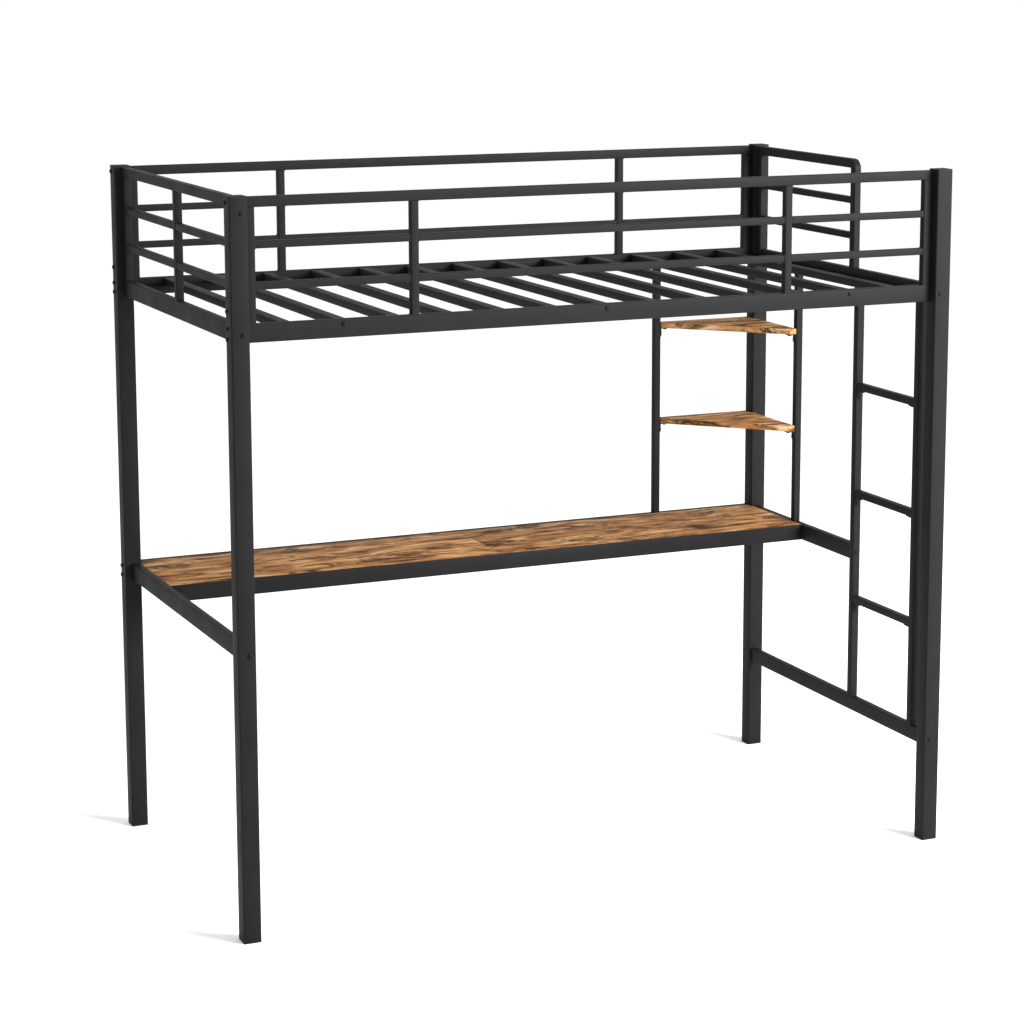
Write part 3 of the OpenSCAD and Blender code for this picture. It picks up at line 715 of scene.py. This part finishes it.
class LOFT_OT_guard_hoop(bpy.types.Operator):
    """Guard hoop at the ladder end: a section run from the post, spun down and run to the rail"""
    bl_idname = "loft.guard_hoop"
    bl_label = "Guard hoop"

    def execute(self, context):
        steel = context.scene.loft_steel
        low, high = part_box("right_guard_hoop")
        upright_low, upright_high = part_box("right_end_upright")
        deep = upright_high.y - upright_low.y
        # The bend starts where the hoop's front face ends.
        points = islands("right_guard_hoop")[0]
        bend_z = max(p.z for p in points if p.y < low.y + SAME)
        bend_y = low.y + high.z - bend_z
        piece = tube(Vector((low.x, bend_y, high.z - deep)), high, Y, steel.rail_corner)
        with editing(piece, "FACE"):
            pick(piece, "faces", faces_to(Y, -1))
            bpy.ops.mesh.delete(type="ONLY_FACE")
        with editing(piece, "EDGE"):
            pick(piece, "edges", lambda edge: edge.is_boundary)
            bpy.ops.mesh.spin(steps=steel.bend_steps, angle=math.radians(-90),
                              center=(low.x, bend_y, bend_z), axis=(1, 0, 0))
            bpy.ops.mesh.extrude_region_move(
                TRANSFORM_OT_translate={"value": (0, 0, low.z - bend_z)})
            bpy.ops.mesh.edge_face_add()
        foot_high = Vector((high.x, low.y + deep, bend_z))
        bead = weld(low, foot_high, Z, -1, (SUNK, steel.weld, 0))
        hand_over(join([piece, bead]), "coated_right_guard_hoop", "right_guard_hoop",
                  finish_of(powder_coated_steel))
        return {"FINISHED"}


class LOFT_OT_bed_base(bpy.types.Operator):
    """Slats across the bed and the angles that carry them"""
    bl_idname = "loft.bed_base"
    bl_label = "Slats and ledges"

    def execute(self, context):
        plate = context.scene.loft_steel.plate
        tube_node("bed_slats", Y)
        for node, side in (("slat_ledge_front", 1), ("slat_ledge_rear", -1)):
            angle_bar(node, Y, side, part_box(node)[0].z + plate)
        for node, side in (("mattress_ledge_left", 1), ("mattress_ledge_right", -1)):
            angle_bar(node, X, side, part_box(node)[1].z)
        return {"FINISHED"}


class LOFT_OT_ladder(bpy.types.Operator):
    """Ladder tubes, rungs and the base rail"""
    bl_idname = "loft.ladder"
    bl_label = "Ladder"

    def execute(self, context):
        bead = context.scene.loft_steel.weld
        tube_node("base_cross_rail", Y)
        for node in ("ladder_rear_tube", "ladder_front_tube"):
            tube_node(node, Z, (LADDER_SUNK, bead, 0))
        tube_node("ladder_rungs", Y)
        return {"FINISHED"}


class LOFT_OT_brackets(bpy.types.Operator):
    """Small angle brackets under the rungs and shelves, with a rounded lower end"""
    bl_idname = "loft.brackets"
    bl_label = "Brackets"

    def bracket(self, points):
        """Two legs from one block: the flat leg, then the upright leg extruded down."""
        steel = bpy.context.scene.loft_steel
        thick = steel.bracket_plate
        low, high = box_of(points)
        reach = high - low
        # The flat leg runs along the longer way across; the upright leg is at its tube end,
        # which is where the lowest points are.
        run = X if reach.x > reach.y else Y
        wide = Y if run == X else X
        foot = min(points, key=lambda p: p.z)
        side = -1 if foot[run] < (low[run] + high[run]) / 2 else 1
        start, stop = low.copy(), high.copy()
        start.z = high.z - thick
        piece = new_cube(start, stop)
        corner = low[run] + thick if side < 0 else high[run] - thick
        with editing(piece, "FACE"):
            cut(run, corner)
            pick(piece, "faces", lambda face: faces_to(Z, -1)(face)
                 and (face.calc_center_median()[run] - corner) * side > 0)
            bpy.ops.mesh.extrude_region_move(
                TRANSFORM_OT_translate={"value": (0, 0, low.z - start.z)})
        with editing(piece, "EDGE"):
            pick(piece, "edges", lambda edge: runs_along(run)(edge)
                 and all(abs(v.co.z - low.z) < SAME for v in edge.verts))
            # Just short of half the width, so that the two rounds keep apart.
            bpy.ops.mesh.bevel(offset=reach[wide] * 0.49, segments=8, affect="EDGES")
        # The facets of the rounds meet at less than 50 degrees and stay as they are.
        apply_modifier(piece, "BEVEL", width=steel.edge, segments=2, limit_method="ANGLE",
                       angle_limit=math.radians(50))
        return piece

    def execute(self, context):
        for node in ("rung_brackets", "shelf_brackets"):
            pieces = [self.bracket(points) for points in islands(node)]
            hand_over(join(pieces), "coated_" + node, node,
                      finish_of(powder_coated_steel))
        return {"FINISHED"}


class LOFT_OT_desk_frame(bpy.types.Operator):
    """Desk rails, cross supports and the shelf legs"""
    bl_idname = "loft.desk_frame"
    bl_label = "Desk frame"

    def execute(self, context):
        tube_node("desk_rear_rail", X)
        tube_node("desk_left_rail", Y)
        tube_node("desk_right_rail", Y)
        tube_node("desk_supports", Y, (SUNK, 0, SUNK))
        tube_node("shelf_rear_leg", Z)
        tube_node("shelf_side_leg", Z)
        # The front rail is a deep face plate with a flange under the boards.
        angle_bar("desk_front_rail", Y, 1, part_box("desk_board_left")[0].z)
        return {"FINISHED"}


def lay_grain(piece, offset):
    """A UV map in metres: the grain runs along X on a board's faces and along its edges.

    The offset gives each board its own part of the print, and its edges another part."""
    mesh = piece.data
    layer = mesh.uv_layers.new(name="grain")
    level_share = 0.6
    edge_share = 0.7
    for face in mesh.polygons:
        along = Vector((-face.normal.y, face.normal.x, 0)).normalized()
        for loop in face.loop_indices:
            point = mesh.vertices[mesh.loops[loop].vertex_index].co
            if abs(face.normal.z) > level_share:
                layer.data[loop].uv = (point.x + offset, point.y + offset)
            else:
                layer.data[loop].uv = (point.dot(along) + offset, point.z + offset * edge_share)


def board(node, index, slant=None):
    """A laminated board: cut along a slant, notched round the post, and eased on its edges."""
    settings = bpy.context.scene.loft_boards
    low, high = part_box(node)
    piece = new_cube(low, high)
    if slant:
        point, normal = slant
        with editing(piece, "FACE"):
            bpy.ops.mesh.select_all(action="SELECT")
            bpy.ops.mesh.bisect(plane_co=point, plane_no=normal, use_fill=True,
                                clear_outer=True)
    for post in ("post_rear_left", "post_rear_right"):
        post_low, post_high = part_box(post)
        gap = Vector((settings.notch_gap, settings.notch_gap, 0))
        if post_low.x - gap.x < high.x and post_high.x + gap.x > low.x:
            cutter = new_cube(post_low - gap, post_high + gap)
            apply_modifier(piece, "BOOLEAN", object=cutter, operation="DIFFERENCE",
                           solver="EXACT")
            bpy.data.objects.remove(cutter)
    apply_modifier(piece, "BEVEL", width=settings.edge, segments=3, limit_method="ANGLE")
    lay_grain(piece, settings.grain_offset * index)
    return hand_over(piece, "laminate_" + node, node, finish_of(rustic_laminate))


class LOFT_OT_desk_boards(bpy.types.Operator):
    """Two desk boards that meet at a seam"""
    bl_idname = "loft.desk_boards"
    bl_label = "Desk boards"

    def execute(self, context):
        board("desk_board_left", 1)
        board("desk_board_right", 2)
        return {"FINISHED"}


class LOFT_OT_shelves(bpy.types.Operator):
    """Two corner shelves with a slanted front"""
    bl_idname = "loft.shelves"
    bl_label = "Shelves"

    def execute(self, context):
        tip = context.scene.loft_boards.shelf_tip
        for index, node in enumerate(("shelf_lower", "shelf_upper")):
            low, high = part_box(node)
            side_tip = Vector((high.x - tip, low.y, low.z))
            rear_tip = Vector((low.x, high.y - tip, low.z))
            way = rear_tip - side_tip
            board(node, index + 3, (side_tip, (-way.y, way.x, 0)))
        return {"FINISHED"}


class LOFT_OT_bolts(bpy.types.Operator):
    """Button head bolts with a hex socket, in the place of every CAD bolt"""
    bl_idname = "loft.bolts"
    bl_label = "Bolts"

    # A head of radius 1: a straight rim, then rings that close over it, as reach and rise.
    rim = 0.18
    rings = ((0.93, 0.16), (0.80, 0.12), (0.62, 0.08))
    head_height = rim + sum(rise for reach, rise in rings)
    # The shank under it and the hex socket in it, in the same units.
    shank_radius = 0.5
    shank_length = 0.4
    socket_radius = 0.4
    socket_floor = 0.22

    def master(self):
        """One bolt head with a hex socket, standing on a short shank."""
        bpy.ops.object.select_all(action="DESELECT")
        bpy.ops.mesh.primitive_cylinder_add(vertices=24, radius=1, depth=self.rim,
                                            location=(0, 0, self.rim / 2))
        bpy.ops.object.transform_apply(location=True, rotation=False, scale=False)
        piece = bpy.context.object
        with editing(piece, "FACE"):
            pick(piece, "faces", faces_to(Z, 1))
            before = 1.0
            for reach, rise in self.rings:
                bpy.ops.mesh.extrude_region_move(
                    TRANSFORM_OT_translate={"value": (0, 0, rise)})
                ratio = reach / before
                bpy.ops.transform.resize(value=(ratio, ratio, 1), center_override=(0, 0, 0))
                before = reach
        with editing(piece, "FACE"):
            pick(piece, "faces", faces_to(Z, -1))
            bpy.ops.mesh.inset(thickness=1 - self.shank_radius, depth=0)
            bpy.ops.mesh.extrude_region_move(
                TRANSFORM_OT_translate={"value": (0, 0, -self.shank_length)})
        bpy.ops.object.select_all(action="DESELECT")
        bpy.ops.mesh.primitive_cylinder_add(vertices=6, radius=self.socket_radius, depth=1,
                                            location=(0, 0, self.socket_floor + 0.5))
        socket = bpy.context.object
        bpy.ops.object.transform_apply(location=True, rotation=True, scale=True)
        apply_modifier(piece, "BOOLEAN", object=socket, operation="DIFFERENCE", solver="EXACT")
        bpy.data.objects.remove(socket)
        return piece

    def place(self, master, points):
        """A copy of the bolt, turned and sized to the CAD bolt with those points."""
        low, high = box_of(points)
        middle = (low + high) / 2
        reach = high - low
        # A bolt is as wide as it is deep, so its axis is the way that differs most.
        axis = max(range(3), key=lambda i: min(abs(reach[j] - reach[i]) for j in others(i)))
        radius = reach[others(axis)[0]] / 2
        # The head's underside is where its widest points are, and its top is the nearer end.
        widest = [p[axis] for p in points
                  if math.hypot(*(p[i] - middle[i] for i in others(axis))) > radius * 0.97]
        seat = sum(widest) / len(widest)
        out = 1 if high[axis] - seat < seat - low[axis] else -1
        height = (high[axis] - seat) if out > 0 else (seat - low[axis])
        direction = Vector((0, 0, 0))
        direction[axis] = out
        turn = direction.to_track_quat("Z", "Y").to_matrix().to_4x4()
        where = middle.copy()
        where[axis] = seat
        scale = Matrix.Diagonal((radius, radius, height / self.head_height, 1))
        copy = master.copy()
        copy.data = master.data.copy()
        copy.data.transform(Matrix.Translation(where) @ turn @ scale)
        bpy.context.scene.collection.objects.link(copy)
        return copy

    def execute(self, context):
        master = self.master()
        for node in ("side_frame_bolts", "end_frame_bolts", "desk_ladder_bolt", "slat_bolts",
                     "rung_bolts", "shelf_bolts", "desk_screws"):
            copies = [self.place(master, points) for points in islands(node)]
            hand_over(join(copies), "oxide_" + node, node,
                      finish_of(black_oxide_steel))
        bpy.data.objects.remove(master)
        return {"FINISHED"}


class LOFT_OT_inserts(bpy.types.Operator):
    """The threaded inserts inside the tubes keep their CAD shape and get a finish"""
    bl_idname = "loft.inserts"
    bl_label = "Inserts"

    def execute(self, context):
        material = finish_of(black_oxide_steel)
        for node in ("slat_inserts", "side_rail_inserts", "end_rail_inserts", "upright_inserts"):
            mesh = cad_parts[node].data
            mesh.materials.clear()
            mesh.materials.append(material)
        return {"FINISHED"}


class LOFT_OT_stage(bpy.types.Operator):
    """Pale paper floor, soft studio light and the camera"""
    bl_idname = "loft.stage"
    bl_label = "Stage"

    def key_light(self, context, stage, target):
        """A large soft box at the front right, turned to the middle of the bed."""
        place = Vector(stage.key_place)
        turn = (target - place).to_track_quat("-Z", "Y").to_euler()
        bpy.ops.object.light_add(type="AREA", location=place, rotation=turn)
        light = context.object
        light.name = "key_light"
        light.data.energy = stage.key_power
        light.data.shape = "SQUARE"
        light.data.size = stage.key_size

    def execute(self, context):
        stage = context.scene.loft_stage
        low, high = cad_box
        bpy.ops.object.select_all(action="DESELECT")
        bpy.ops.mesh.primitive_plane_add(size=stage.floor_size, location=(0, 0, low[2]))
        floor = context.object
        floor.name = "paper_floor"
        floor.data.materials.append(finish_of(studio_paper))
        self.key_light(context, stage, Vector((0, 0, (low[2] + high[2]) / 2)))
        world = bpy.data.worlds.new("white_surround")
        world.use_nodes = True
        background = world.node_tree.nodes["Background"]
        background.inputs["Color"].default_value = grey(1.0)
        background.inputs["Strength"].default_value = stage.surround
        context.scene.world = world
        context.scene.view_settings.view_transform = "Standard"
        self.camera(context, stage)
        return {"FINISHED"}

    def camera(self, context, stage):
        """The camera at the bed's front left, at its place, turn, lens and shift."""
        bpy.ops.object.camera_add(
            location=stage.camera_place,
            rotation=(math.radians(90) - stage.camera_pitch, 0, -stage.camera_yaw))
        camera = context.object
        camera.name = "bed_camera"
        camera.data.lens = stage.lens
        camera.data.sensor_width = 36
        camera.data.shift_x, camera.data.shift_y = stage.shift
        context.scene.camera = camera


PIECE_OPERATORS = (
    LOFT_OT_posts, LOFT_OT_caps, LOFT_OT_side_frames, LOFT_OT_end_frames, LOFT_OT_guard_hoop,
    LOFT_OT_bed_base, LOFT_OT_ladder, LOFT_OT_brackets, LOFT_OT_desk_frame,
    LOFT_OT_desk_boards, LOFT_OT_shelves, LOFT_OT_bolts, LOFT_OT_inserts, LOFT_OT_stage)


class LOFT_PT_panel(bpy.types.Panel):
    """Lists the pieces of the loft bed"""
    bl_idname = "LOFT_PT_panel"
    bl_label = "Loft Bed"
    bl_space_type = "VIEW_3D"
    bl_region_type = "UI"
    bl_category = "Loft Bed"

    def draw(self, context):
        for group in SETTINGS:
            settings = getattr(context.scene, group)
            for prop in settings.__annotations__:
                self.layout.prop(settings, prop)
        for operator in PIECE_OPERATORS:
            self.layout.operator(operator.bl_idname)


SETTINGS = {
    "loft_steel": LoftSteelSettings,
    "loft_boards": LoftBoardSettings,
    "loft_finish": LoftFinishSettings,
    "loft_stage": LoftStageSettings,
}


def register():
    for group in SETTINGS.values():
        bpy.utils.register_class(group)
    for name, group in SETTINGS.items():
        setattr(bpy.types.Scene, name, PointerProperty(type=group))
    for operator in PIECE_OPERATORS:
        bpy.utils.register_class(operator)
    bpy.utils.register_class(LOFT_PT_panel)


def unregister():
    bpy.utils.unregister_class(LOFT_PT_panel)
    for operator in reversed(PIECE_OPERATORS):
        bpy.utils.unregister_class(operator)
    for name, group in SETTINGS.items():
        delattr(bpy.types.Scene, name)
        bpy.utils.unregister_class(group)


def main():
    register()
    for operator in PIECE_OPERATORS:
        group, name = operator.bl_idname.split(".")
        getattr(getattr(bpy.ops, group), name)()


if __name__ == "__main__":
    main()
